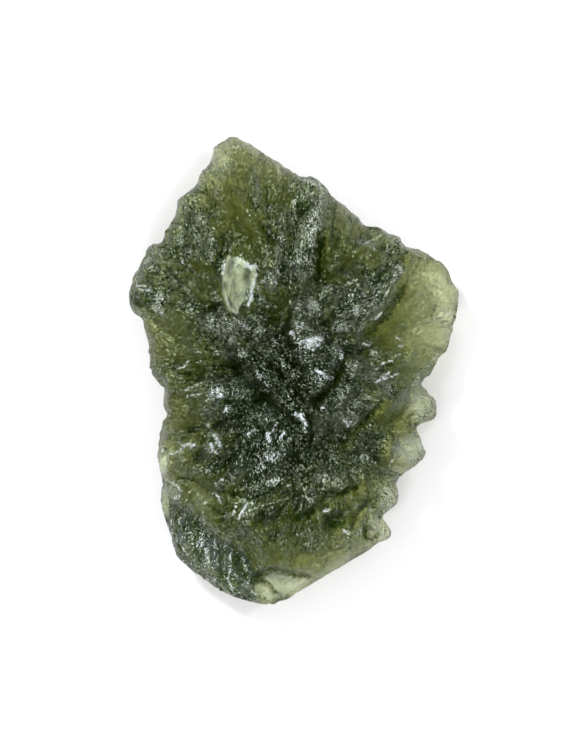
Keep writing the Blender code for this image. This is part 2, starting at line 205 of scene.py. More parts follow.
def spread(values, rounds):
    """Values evened out between neighbouring points, wider with every round."""
    for _ in range(rounds):
        total = (np.bincount(edges[:, 0], values[edges[:, 1]], len(points))
                 + np.bincount(edges[:, 1], values[edges[:, 0]], len(points)))
        values = total / neighbours
    return values


print("edges to pass values along:", len(edges))

# %% [markdown]
# ## Which way the glass runs
# On the real shard every furrow, streak and grain is drawn out along the way from the core to
# the rim, in fans that open one beside the other like the fronds of a fern. Each fan here has a
# place where its lines start and a place where it is strongest. A point mixes the directions of
# the fans near it. A single centre for all lines would look like a wheel.

# %% Which way the glass runs
# where the lines start (x, y), where the fan is strongest (x, y), all in millimetres
FANS = [
    (-3.4, 7.0, -3.8, 12.6), (-4.8, 5.8, -8.0, 9.8), (-5.6, 4.6, -9.8, 5.6),
    (-3.6, 1.9, -8.6, 2.4), (-3.6, -0.2, -7.2, -1.0), (-0.4, 4.4, 0.4, 9.4), (1.6, 4.6, 3.9, 8.8),
    (2.2, 2.2, 5.6, 4.6), (5.0, 1.4, 9.4, 4.8), (3.6, -0.8, 8.0, -0.6), (2.8, -2.8, 8.0, -4.2),
    (1.8, -4.6, 5.4, -8.4), (0.4, -6.6, 1.0, -12.0), (-2.6, -6.4, -4.4, -10.6),
    (-3.2, -3.2, -7.8, -6.0), (-4.6, 3.4, -0.8, -1.0), (-7.9, -8.5, -7.4, -12.4),
    (-5.6, -9.5, -5.2, -14.0), (-0.4, 1.6, 1.6, -5.6),
]
FAN_WIDTH = 2.2
run = np.zeros((len(points), 2))
for start_x, start_y, strong_x, strong_y in FANS:
    away = np.stack([x - start_x, y - start_y], axis=1)
    away /= np.linalg.norm(away, axis=1, keepdims=True) + 0.3
    near = np.exp(-((x - strong_x) ** 2 + (y - strong_y) ** 2) / (2 * FAN_WIDTH ** 2))
    run += away * near[:, None]
run /= np.linalg.norm(run, axis=1, keepdims=True) + 1e-9
print("fans:", len(FANS))

# %% [markdown]
# ## Grain and streaks
# Soft noise makes round spots. Looked up at a few places along the run and added together, the
# same spots are dragged out into streaks. Every noise has its own height in the noise field, so
# that no two look alike and each comes out the same on every run.

# %% Grain and streaks


def grain(size, seed, shift=0.0):
    """Plain soft noise in spots of a given size, looked up a little way along the run."""
    px, py = x + run[:, 0] * shift, y + run[:, 1] * shift
    return np.array([noise.noise(Vector(spot)) for spot in
                     zip(px / size, py / size, z / size + seed)])


def streaks(size, length, seed, steps=5):
    """Noise dragged out along the run of the glass."""
    shifts = np.linspace(-length / 2, length / 2, steps)
    return sum(grain(size, seed, shift) for shift in shifts) / steps ** 0.62


broad = grain(1.6, 4.0)
print("broad grain from", round(float(broad.min()), 2), "to", round(float(broad.max()), 2))

# %% [markdown]
# ## Rough and smooth ground
# The high ridges are etched rough and look grey, because they scatter light. The hollows and
# the thin rim are smoother, and their green shows. The ovals mark stretches that are rougher or
# smoother than the rest. Broad bands of streaks break them up, and a steeper curve at the end
# keeps the border between grey ridge and green hollow sharp, as etching leaves it.

# %% Rough and smooth ground
# middle x, y, half length, half width, direction in degrees, how much rougher
ROUGH = [
    (-2.8, 12.3, 1.1, 0.6, 80, 0.5), (1.3, 11.6, 2.0, 1.4, 80, 0.7), (0.4, 8.6, 2.2, 1.9, 80, 0.6),
    (6.9, 7.8, 2.2, 0.8, 70, 0.7), (5.2, 4.8, 3.0, 2.0, 25, 0.6), (1.9, 0.8, 2.2, 1.7, 100, 0.7),
    (-4.9, 3.1, 2.4, 1.0, 10, 0.6), (-1.9, -2.8, 1.2, 1.0, 0, 0.5),
    (-2.2, -6.2, 3.2, 1.6, 70, 0.5), (-9.9, 6.2, 1.6, 2.0, 0, 0.3),
    (-7.0, 10.2, 2.0, 1.2, 60, 0.3), (6.6, -9.0, 1.0, 0.6, 0, 0.6), (9.4, -2.6, 0.9, 1.2, 90, 0.4),
    (3.6, -2.2, 2.0, 1.4, 0, 0.4), (-5.5, -12.5, 3.0, 1.5, 135, 0.1),
]
SMOOTH = [
    (-4.2, 13.2, 1.0, 2.8, 0, 0.45), (-3.9, 9.9, 0.9, 2.2, 10, 0.45),
    (-1.6, 13.4, 0.8, 2.0, 15, 0.5), (3.5, 9.2, 1.6, 2.8, 10, 0.8), (5.2, 9.4, 1.3, 0.9, 20, 0.9),
    (9.4, 4.6, 2.4, 3.6, -20, 0.9), (-8.6, 2.6, 2.2, 1.4, 0, 0.7), (7.3, -3.0, 1.8, 1.4, 0, 0.6),
    (7.6, -5.7, 1.4, 0.9, 15, 0.8), (2.9, -13.9, 3.6, 1.0, 30, 1.0),
    (-6.4, -12.4, 3.4, 1.6, 125, 0.8), (-0.9, -15.0, 2.2, 0.7, 0, 0.9),
    (3.0, -10.7, 1.2, 1.0, 0, 0.8), (-6.5, -9.4, 1.4, 1.6, 0, 0.5), (-8.0, -4.4, 1.2, 1.0, 0, 0.6),
    (-1.4, -10.6, 1.5, 1.4, 0, 0.9), (-7.3, -4.3, 1.1, 0.9, 0, 0.9),
    (-6.9, -5.95, 0.8, 0.6, 0, 0.9), (-8.6, -2.2, 1.0, 1.2, 0, 0.7),
    (-0.6, -13.2, 1.8, 0.8, 0, 0.8), (-3.9, 6.0, 1.0, 2.1, 10, 0.9),
    (7.6, 3.2, 1.0, 2.6, -35, 0.6),
]


def across(shape):
    """Place of every point in an oval: along it and across it, one on its edge."""
    turn = math.radians(shape[4])
    u = ((x - shape[0]) * math.cos(turn) + (y - shape[1]) * math.sin(turn)) / shape[2]
    v = ((y - shape[1]) * math.cos(turn) - (x - shape[0]) * math.sin(turn)) / shape[3]
    return u, v


def oval(shape):
    """One in the middle of an oval, fading to nothing at its edge."""
    u, v = across(shape)
    return np.exp(-1.2 * (u * u + v * v) ** 1.5)


BORDER = 1.8
THIN, THICK = 2.5, 6.0
bands = streaks(0.75, 3.2, 71.0) + 0.7 * streaks(0.42, 2.4, 81.0)
thick = np.clip((z - THIN) / (THICK - THIN), 0, 1)
frost = 0.45 + 0.4 * broad + 0.3 * streaks(0.5, 2.0, 9.0) + 0.6 * bands
for shape in ROUGH:
    frost = frost + shape[5] * oval(shape)
for shape in SMOOTH:
    frost = frost - shape[5] * oval(shape)
frost = np.clip(0.5 + BORDER * (frost - 0.5), 0, 1)
print("rough share:", round(float((frost > 0.5).mean()), 2))

# %% [markdown]
# ## Furrows and blades
# The furrows that can be told one by one are drawn as short lines with a width and a
# depth; blades are the same with the sign turned round. Steps are edges where one side of a line
# lies higher, like the ledge beside the pale shoulder. Moving the points of the mesh gives real
# valleys that bend the light, where a painted line would only be dark.

# %% Furrows and blades
# the points of a line, its half width, how deep or high it is
FURROWS = [
    ([(1.8, 9.7), (1.85, 8.2), (1.7, 6.4)], 0.22, 0.16),
    ([(-6.6, -0.2), (-7.8, -0.25)], 0.25, 0.14), ([(-7.8, -0.75), (-5.6, -0.3)], 0.16, 0.14),
    ([(2.2, 6.2), (2.2, 8.0), (2.15, 10.2)], 0.16, 0.14),
    ([(2.6, 9.0), (2.8, 10.5), (2.95, 11.8)], 0.16, 0.18),
    ([(3.0, 8.6), (3.35, 10.0), (3.9, 11.0)], 0.13, 0.16),
    ([(3.6, 8.4), (4.0, 9.8), (4.4, 10.7)], 0.13, 0.14),
    ([(2.7, 6.6), (3.5, 7.6), (4.5, 8.3), (5.2, 8.75)], 0.15, 0.16),
    ([(3.2, 6.9), (4.6, 7.6), (5.9, 8.3)], 0.13, 0.12),
    ([(-7.9, 12.4), (-7.4, 12.85), (-7.0, 12.9), (-6.3, 12.6), (-5.9, 12.0), (-5.9, 11.0)],
     0.13, 0.22),
    ([(-4.8, 1.9), (-4.3, 0.8), (-3.7, -0.5), (-2.4, -1.8), (-1.8, -2.7)], 0.3, 0.22),
    ([(1.5, -2.1), (2.8, -0.9), (3.6, 0.6), (4.0, 1.6)], 0.22, 0.2),
    ([(-5.6, -4.0), (-4.4, -3.3), (-2.2, -2.0)], 0.36, 0.22),
    ([(-2.1, -1.8), (-0.8, -3.0), (-0.2, -4.2)], 0.2, 0.2),
    ([(0.3, 5.6), (-0.2, 4.0), (-0.8, 2.6)], 0.14, 0.18),
    ([(3.4, 1.6), (4.6, 1.25), (5.6, 1.9)], 0.2, 0.16), ([(-1.9, 0.5), (-1.3, -0.1)], 0.4, 0.16),
    ([(0.4, -10.5), (1.3, -9.7), (2.2, -9.0), (4.4, -8.3)], 0.2, 0.28),
    ([(-5.3, 9.8), (-4.9, 8.5), (-5.2, 8.0), (-5.6, 6.8)], 0.25, 0.12),
    ([(-2.8, -14.6), (-2.1, -14.2), (-1.5, -14.05), (-0.7, -14.2), (0.2, -14.6), (1.0, -14.65)],
     0.2, 0.34),
    ([(-2.9, -14.8), (-2.3, -14.95), (-1.7, -15.3), (-1.3, -15.8)], 0.14, 0.28),
    ([(-5.8, -8.4), (-3.2, -9.0), (-1.0, -8.2)], 0.16, 0.2),
    ([(5.0, -11.0), (5.1, -11.9), (5.6, -12.0), (6.0, -11.6)], 0.14, 0.32),
    ([(-9.0, 7.3), (-8.0, 6.2)], 0.12, 0.25), ([(-6.8, 4.0), (-5.2, 4.7)], 0.12, 0.25),
    ([(5.2, 10.2), (6.2, 10.1)], 0.1, 0.25), ([(-6.1, -9.5), (-5.0, -10.2)], 0.12, 0.25),
    ([(5.4, -9.1), (4.5, -10.1), (4.1, -11.1)], 0.18, 0.25),
    ([(1.1, -3.1), (1.1, -4.8), (0.8, -6.4)], 0.14, 0.24),
    ([(-4.8, -2.2), (-3.4, -2.3), (-2.2, -1.9)], 0.14, 0.25),
    ([(-3.2, -5.0), (-2.3, -4.4), (-2.0, -3.8)], 0.14, 0.25),
    ([(-0.5, -2.8), (0.0, -3.8)], 0.14, 0.24), ([(-7.4, -4.2), (-6.6, -4.0)], 0.2, 0.25),
    ([(8.2, -3.6), (8.2, -4.2)], 0.1, 0.24), ([(-11.6, 5.3), (-10.4, 4.4)], 0.1, 0.2),
    ([(-11.2, 5.5), (-10.2, 4.8)], 0.1, 0.2), ([(-7.0, -12.6), (-6.8, -13.6)], 0.1, 0.24),
    ([(-5.4, -12.8), (-5.2, -14.6)], 0.12, 0.24), ([(-3.8, -13.6), (-3.9, -15.2)], 0.12, 0.24),
]
BLADES = [
    ([(-1.1, 14.5), (-1.1, 13.3)], 0.14, 0.2), ([(6.1, 9.5), (4.4, 8.5)], 0.16, 0.3),
    ([(-6.4, 0.9), (-5.6, 1.9)], 0.14, 0.25), ([(-7.8, -1.5), (-5.9, -0.6)], 0.14, 0.25),
    ([(5.9, 0.2), (7.4, 1.1)], 0.13, 0.25),
    ([(5.6, -0.8), (6.5, -0.1), (7.9, 0.6), (8.5, 1.4)], 0.13, 0.25),
    ([(-3.1, -10.4), (-2.1, -9.4)], 0.14, 0.2), ([(3.7, 0.6), (4.7, -0.5)], 0.14, 0.25),
    ([(-9.9, 6.3), (-11.2, 5.9)], 0.12, 0.2), ([(-6.0, -11.1), (-5.9, -13.6)], 0.12, 0.25),
    ([(-4.4, -13.0), (-4.6, -14.6)], 0.12, 0.25),
    ([(4.2, 8.2), (4.4, 9.3), (4.8, 10.2)], 0.13, 0.16),
    ([(3.15, 9.6), (3.5, 10.6), (3.6, 11.4)], 0.16, 0.16),
    ([(-7.8, -1.5), (-6.3, -0.9)], 0.13, 0.16), ([(-6.6, 1.2), (-5.5, 1.9)], 0.13, 0.18),
]

# the points of a line, how much higher its left side is, how dark the painted shade at its foot is
STEPS = [
    ([(5.0, 2.4), (5.8, 3.6), (6.4, 4.4), (7.1, 5.2), (7.8, 6.1), (8.6, 7.4), (8.9, 8.1)],
     0.5, 0.6),
    ([(1.0, -2.2), (2.0, -1.4), (2.9, -0.5), (3.4, 0.6), (3.6, 1.9)], 0.5, 0.5),
    ([(3.6, -5.0), (4.6, -3.7), (5.6, -2.6), (6.2, -1.8)], 0.4, 0.5),
    ([(-3.2, -13.3), (0.0, -12.9), (2.6, -12.7), (5.0, -12.2)], 0.25, 0.2),
    ([(-8.6, -9.4), (-7.0, -10.3), (-6.2, -11.5), (-4.5, -12.6), (-3.6, -13.3), (-2.7, -14.2)],
     0.4, 0.6),
    ([(-5.0, -4.2), (-3.6, -3.4), (-2.4, -2.3)], 0.3, 0.5),
    ([(-4.3, -0.1), (-6.0, -1.0)], 0.3, 0.5),
    ([(-8.2, -7.3), (-6.7, -8.0), (-5.8, -8.5), (-5.3, -9.4)], 0.3, 0.5),
    ([(2.5, 8.8), (2.65, 10.5), (2.6, 11.8)], 0.35, 0.4),
    ([(-1.8, 9.0), (-2.0, 11.0), (-2.3, 13.0)], 0.2, 0.3),
    ([(-5.0, 9.6), (-4.4, 11.4), (-4.6, 13.4)], 0.2, 0.25),
    ([(4.3, 8.3), (4.7, 8.9), (6.2, 9.6)], 0.25, 0.3),
    ([(-3.2, 4.2), (-6.6, 4.2), (-9.0, 4.6)], 0.25, 0.35),
    ([(-4.6, 0.9), (-7.4, 0.5), (-9.4, 0.6)], 0.25, 0.35),
    ([(0.4, -8.6), (2.4, -8.4), (4.6, -7.6)], 0.25, 0.35),
    ([(4.2, -6.6), (6.2, -7.0), (7.6, -7.0)], 0.25, 0.3),
    ([(-2.4, 0.8), (-1.2, -0.8), (0.2, -2.6)], 0.25, 0.4),
    ([(-6.6, -3.4), (-5.6, -4.8), (-5.1, -6.2)], 0.25, 0.4),
]
print("lists:", len(FURROWS), "furrows,", len(BLADES), "blades,", len(STEPS), "steps")

# %% [markdown]
# ## How a line lifts the glass
# A furrow needs only the distance of each point from its line. A step also needs the side that
# the point is on, and fades out towards both ends of the line. The widths wobble a little, since
# furrows of one even width look like worms.

# %% How a line lifts the glass
STEP_REACH, STEP_FOOT, STEP_END, STEP_EDGE = 0.7, 0.22, 0.9, 0.08


def line_distance(line):
    """Distance of every point from a bent line, seen from above."""
    best = np.full(len(x), 1e9)
    for (x0, y0), (x1, y1) in zip(line, line[1:]):
        dx, dy = x1 - x0, y1 - y0
        t = np.clip(((x - x0) * dx + (y - y0) * dy) / (dx * dx + dy * dy), 0, 1)
        best = np.minimum(best, np.hypot(x - x0 - t * dx, y - y0 - t * dy))
    return best


def step_at(line):
    """One on the left of a bent line and minus one on its right, and how near its foot is."""
    total = sum(math.dist(a, b) for a, b in zip(line, line[1:]))
    best, side, done = np.full(len(x), 1e9), np.zeros(len(x)), 0.0
    for (x0, y0), (x1, y1) in zip(line, line[1:]):
        dx, dy = x1 - x0, y1 - y0
        long = math.hypot(dx, dy)
        t = np.clip(((x - x0) * dx + (y - y0) * dy) / long ** 2, 0, 1)
        far = np.hypot(x - x0 - t * dx, y - y0 - t * dy)
        ends = np.clip(np.minimum(done + t * long, total - done - t * long) / STEP_END, 0, 1)
        sign = np.clip((dx * (y - y0) - dy * (x - x0)) / long / STEP_EDGE, -1, 1)
        side = np.where(far < best, sign * ends, side)
        best = np.minimum(best, far)
        done += long
    return side * np.exp(-best / STEP_REACH), (side < 0) * -side * np.exp(-best / STEP_FOOT)


drawn = np.zeros(len(x))
# painted shade along the low side of each step
step_shade = np.zeros(len(x))
for line, height, shade in STEPS:
    rise, foot_of = step_at(line)
    drawn += height / 2 * rise
    step_shade = np.maximum(step_shade, shade * foot_of)
steps = drawn.copy()
wobble = 1 + 0.9 * grain(0.4, 31.0)
for line, width, depth in FURROWS:
    drawn -= depth * np.exp(-(line_distance(line) / (width * wobble)) ** 2)
for line, width, height in BLADES:
    drawn += height * np.exp(-(line_distance(line) / width) ** 2)
print("lines lift the glass from", round(float(drawn.min()), 2), "to",
      round(float(drawn.max()), 2), "mm")

# %% [markdown]
# ## Flutes and etching
# Several sizes of relief lie over each other: flutes half a millimetre apart with sharp valleys
# between round backs, thin ribs on those backs, a crinkle without direction, long narrow seams,
# and the drawn lines. The rough ground gets more of the ribs, crinkle and seams, and the rim its
# own coarser crinkle. All of it stays gentle, since walls steeper than about 35 degrees would
# mirror the white card instead of showing green. The right shoulder is pressed down a little as
# a whole, because the glass is thinnest there.

# %% Flutes and etching
FLUTE_HEIGHT, SWELL_HEIGHT, SEAM_DEPTH, SEAM_WIDTH, RIM_CRINKLE = 0.26, 0.12, 0.09, 0.06, 0.16
SHOULDER, SHOULDER_PRESS = (9.4, 3.8, 3.0, 3.8, 0), 0.35
flutes = np.abs(streaks(0.55, 2.2, 1.0))
ribs = np.abs(streaks(0.3, 1.0, 6.0, 4))
crinkle = grain(0.26, 15.0)
swell = grain(1.1, 12.0)
seams = np.exp(-(streaks(0.9, 4.0, 91.0, 7) / SEAM_WIDTH) ** 2) * np.clip(0.2 + 1.2 * frost, 0, 1)
relief = (FLUTE_HEIGHT * flutes + (0.06 + 0.08 * frost) * ribs + (0.02 + 0.06 * frost) * crinkle
          + SWELL_HEIGHT * swell)
relief = relief - SEAM_DEPTH * seams
relief = (relief - relief.mean()) * (0.4 + 0.6 * facing_up)
relief = relief + RIM_CRINKLE * grain(0.55, 23.0) * (1 - np.abs(normals[:, 2])) ** 2
relief = relief * (0.2 + 0.8 * np.clip(frost * 2, 0, 1))
points += normals * relief[:, None]
points[:, 2] += drawn * facing_up
points[:, 2] -= SHOULDER_PRESS * oval(SHOULDER) * facing_up
print("relief from", round(float(relief.min()), 2), "to", round(float(relief.max()), 2), "mm")

# %% [markdown]
# ## Chips
# Small fresh chips are flat, so each one mirrors a lamp as a whole and flashes. Each is cut as
# a plane that leans towards the main lamp by half the angle between lamp and eye. The points
# above the plane come down to it, and nothing is added.

# %% Chips
# middle x, y, half length, half width, direction in degrees
CHIPS = [
    (1.1, 1.9, 0.75, 0.5, 30), (-0.2, 2.7, 0.3, 0.3, 0), (1.2, 4.6, 0.5, 0.35, 0),
    (3.8, 6.2, 0.5, 0.22, 20), (5.2, 5.6, 0.5, 0.2, 20), (6.6, 5.6, 0.5, 0.2, 80),
    (0.5, -3.6, 0.8, 0.22, 115), (-1.7, -4.4, 0.5, 0.25, 60), (-0.9, -4.5, 0.3, 0.22, 0),
    (-7.9, -5.6, 1.0, 0.22, 15), (-5.6, -4.7, 1.0, 0.25, 115), (-1.6, -7.7, 0.7, 0.35, 30),
    (-3.3, -8.9, 0.55, 0.28, 30), (-3.8, -10.0, 0.7, 0.28, 60), (-6.2, -9.4, 0.3, 0.15, 10),
    (2.3, -9.9, 0.35, 0.15, 0), (-7.8, 0.3, 0.45, 0.15, 45), (-3.2, 7.4, 0.4, 0.3, 30),
    (-10.6, 6.0, 0.55, 0.12, 10), (-9.2, -6.3, 0.9, 0.3, 80),
]
LAMP_AZIMUTH, LAMP_HEIGHT = MAIN_BOX[:2]
LEAN = (90 - LAMP_HEIGHT) / 2
LIGHT_WAY = (math.cos(math.radians(LAMP_AZIMUTH)), math.sin(math.radians(LAMP_AZIMUTH)))


def take_chip(shape):
    """Cuts one small flat facet and returns how many points lie on it."""
    u, v = across(shape)
    inside = (np.abs(u) ** 1.3 + np.abs(v) ** 1.3 < 1) & (normals[:, 2] > 0.1)
    if not inside.any():
        return 0
    slope = math.tan(math.radians(LEAN))
    plane = -slope * ((x - shape[0]) * LIGHT_WAY[0] + (y - shape[1]) * LIGHT_WAY[1])
    level = np.quantile(points[inside, 2] - plane[inside], 0.4)
    points[inside, 2] = np.minimum(points[inside, 2], (plane + level)[inside])
    frost[inside] = 0
    return int(inside.sum())


print("points on chips:", sum(take_chip(shape) for shape in CHIPS))

# %% [markdown]
# ## Dark ground: clay and painted shadow
# Old clay and painted shadow darken broad stretches of the skin: the core, the foot at the lower
# left, the left lobe, the deep green pits, and the band along the foot of the ledge beside the
# shoulder. Others are clean, such as the shoulder, the fingers and the bottom tip, and some are
# only striped. They are listed as ovals, and the foot as an outline. All these marks could be
# drawn as pictures, but marks that follow the relief can't slip off it.

# %% Dark ground
# middle x, y, half length, half width, direction in degrees, how dark
DARK = [
    (-3.95, 10.0, 1.3, 0.8, 85, 0.5), (-1.8, 13.0, 1.6, 0.6, 80, 0.3),
    (-0.4, 12.8, 1.0, 0.6, 90, 0.4), (0.55, 11.5, 0.7, 0.5, 90, 0.5),
    (-0.1, 13.5, 0.25, 0.2, 0, 0.6), (1.6, 8.6, 0.5, 2.6, 0, 0.3), (-6.5, 4.6, 1.7, 0.4, 10, 0.4),
    (3.3, 9.2, 2.4, 1.2, 70, 0.2), (6.25, 8.8, 0.4, 0.35, 0, 0.6), (4.2, 1.6, 0.9, 0.4, 0, 0.5),
    (-8.7, -1.6, 0.6, 0.5, 0, 0.4), (-8.5, -4.5, 0.9, 0.6, 0, 0.4),
    (-7.3, -4.2, 0.9, 0.6, -15, 0.55), (-6.95, -6.0, 0.7, 0.4, -10, 0.7),
    (-4.5, -3.3, 0.9, 0.9, 0, 0.5), (-1.7, -10.1, 1.3, 0.6, 10, 0.6),
    (-1.3, -11.6, 0.6, 0.4, 0, 0.5), (3.0, -10.6, 1.1, 1.0, 60, 0.9),
    (3.1, -10.7, 0.35, 0.2, 0, 0.8), (5.6, -5.9, 0.6, 0.6, 0, 0.4), (3.4, -4.3, 0.6, 0.5, 0, 0.4),
    (7.0, -3.1, 0.9, 1.5, 0, 0.3), (-3.4, -0.4, 1.0, 0.5, -60, 0.3),
    (-4.3, 1.2, 1.0, 0.3, -60, 0.35), (1.0, -12.5, 1.1, 0.4, 0, 0.4),
    (-10.8, 5.2, 1.6, 1.3, 0, 0.7), (-9.6, 8.4, 2.6, 1.2, 60, 0.3),
    (-1.0, -0.5, 3.6, 4.0, 0, 0.85), (-1.5, -5.5, 4.0, 2.8, 0, 0.8), (4.6, -5.5, 2.4, 2.8, 0, 0.3),
    (-0.6, -10.6, 3.6, 2.2, 0, 0.35), (-5.6, -6.8, 2.2, 1.4, 0, 0.3),
    (-9.2, 0.2, 1.0, 2.2, 0, 0.2), (-3.5, 6.85, 0.5, 0.4, 60, 0.5), (5.4, 5.6, 2.6, 1.8, 30, 0.15),
    (-7.6, 9.2, 2.6, 1.6, 60, 0.2), (-5.2, -1.0, 2.6, 1.8, 0, 0.3),
    (5.2, -11.6, 0.6, 0.3, 60, 0.5), (3.4, -0.4, 1.6, 2.2, 0, 0.2),
    (-9.1, -11.0, 0.7, 2.0, 30, 0.4), (7.2, 5.0, 1.9, 0.42, 54, 0.7),
    (5.15, 9.5, 1.0, 0.42, 25, 0.75),
]
# the same, but how much of the dark is gone
CLEAN = [
    (9.9, 4.2, 2.4, 3.6, -10, 0.9), (9.2, -2.4, 1.4, 1.2, 0, 0.8), (8.3, -5.6, 1.4, 1.2, 0, 0.8),
    (6.8, -9.1, 1.0, 1.0, 0, 0.7), (6.2, -11.2, 1.1, 1.0, 0, 0.6),
    (-1.0, -15.2, 2.2, 0.8, 10, 0.7), (-6.6, -9.4, 1.6, 1.0, 80, 0.8),
    (-9.3, 2.6, 1.2, 1.6, 0, 0.7), (3.4, -13.8, 3.4, 0.9, 32, 0.7), (-4.6, 14.8, 1.6, 1.6, 0, 0.6),
    (-0.6, -13.2, 1.8, 0.8, 0, 0.7), (3.8, 9.6, 2.0, 2.4, 10, 0.95), (4.8, -8.4, 2.4, 2.0, 0, 0.4),
    (-3.9, 10.6, 1.0, 2.4, 5, 0.8),
]
# the same, but how dark the stripes are there
STRIPED = [
    (3.6, 9.4, 1.6, 2.6, -12, 0.65), (-9.2, 2.4, 1.8, 2.4, 0, 0.4),
    (-3.6, 12.8, 1.6, 3.0, 0, 0.35), (9.4, 4.4, 2.4, 3.4, -10, 0.2), (5.6, -7.4, 2.2, 2.0, 0, 0.4),
]
FOOT = [
    (-9.6, -9.4), (-8.4, -9.6), (-7.0, -10.4), (-6.2, -11.5), (-4.5, -12.6), (-3.6, -13.3),
    (-2.7, -14.3), (-2.9, -16.6), (-6.0, -16.6), (-10.4, -12.0),
]


def patch(outline, soft):
    """One inside a closed outline, fading to nothing over a soft border outside it."""
    inside = np.zeros(len(x), bool)
    for (x0, y0), (x1, y1) in zip(outline, outline[1:] + outline[:1]):
        crosses = (y0 > y) != (y1 > y)
        inside ^= crosses & (x < x0 + (y - y0) * (x1 - x0) / (y1 - y0 if y1 != y0 else 1e-9))
    return np.where(inside, 1, np.clip(1 - line_distance(outline + outline[:1]) / soft, 0, 1))


print("dark, clean and striped ovals:", len(DARK), len(CLEAN), len(STRIPED))

# %% [markdown]
# ## Painted shade in the notches
# Shade is painted into the skin here. A point is darker the deeper it lies under its
# surroundings, close by and farther off, and the more so on rough ground. Seams, drawn furrows and
# the feet of steps get painted shade lines of their own, and thick glass is painted a little
# darker. Where the glass is thin, light from below washes them out, so the drawn ones count for
# more.

# %% Dark in the notches
NEAR_ROUNDS, NEAR_DROP = 4, 0.07
WIDE_ROUNDS, WIDE_DROP = 24, 0.3
NOTCH_DARK, ROUGH_NOTCH_DARK, ROUGH_DARK = 0.1, 0.6, 0.38
SEAM_DARK, FURROW_DARK, STEP_DARK, FOOT_DARK = 0.7, 0.65, 0.9, 0.95
height = points[:, 2] * np.sign(normals[:, 2])
# painted shade: the deeper a point lies under its neighbours, the darker its skin
near_notch = np.clip((spread(height, NEAR_ROUNDS) - height) / NEAR_DROP, 0, 1)
wide_notch = np.clip((spread(height, WIDE_ROUNDS) - height) / WIDE_DROP, 0, 1)
furrow = np.clip(-4.5 * (drawn - steps), 0, 1) * facing_up
rough = np.clip(2.5 * frost - 1.3, 0, 1)
dark = (NOTCH_DARK + ROUGH_NOTCH_DARK * frost) * (near_notch + wide_notch) + ROUGH_DARK * rough
dark = (dark + np.clip(-1.5 * bands, 0, 0.2)) * (0.3 + 0.7 * thick)
# painted shade in the seams, and thick glass painted a little darker
dark = dark + SEAM_DARK * seams * (0.7 + 0.3 * thick) + 0.1 * thick ** 3
for shape in CLEAN:
    dark = dark * (1 - shape[5] * oval(shape))
stripes = np.clip(2.5 * streaks(0.45, 3.5, 121.0, 7), 0, 1)
for shape in STRIPED:
    dark = dark + shape[5] * oval(shape) * stripes
# painted shade along the drawn furrows and at the feet of steps
dark = dark + FURROW_DARK * furrow * (1 - 0.35 * thick) + STEP_DARK * step_shade * facing_up
# painted shadow and old clay in the dark ovals
for shape in DARK:
    dark = dark + shape[5] * oval(shape) * above
foot = patch(FOOT, 0.8) * np.clip(1.1 + 0.9 * grain(0.8, 61.0), 0, 1)
dark = np.clip(dark + FOOT_DARK * foot * above, 0, 1)
print("dark share:", round(float(dark.mean()), 2))
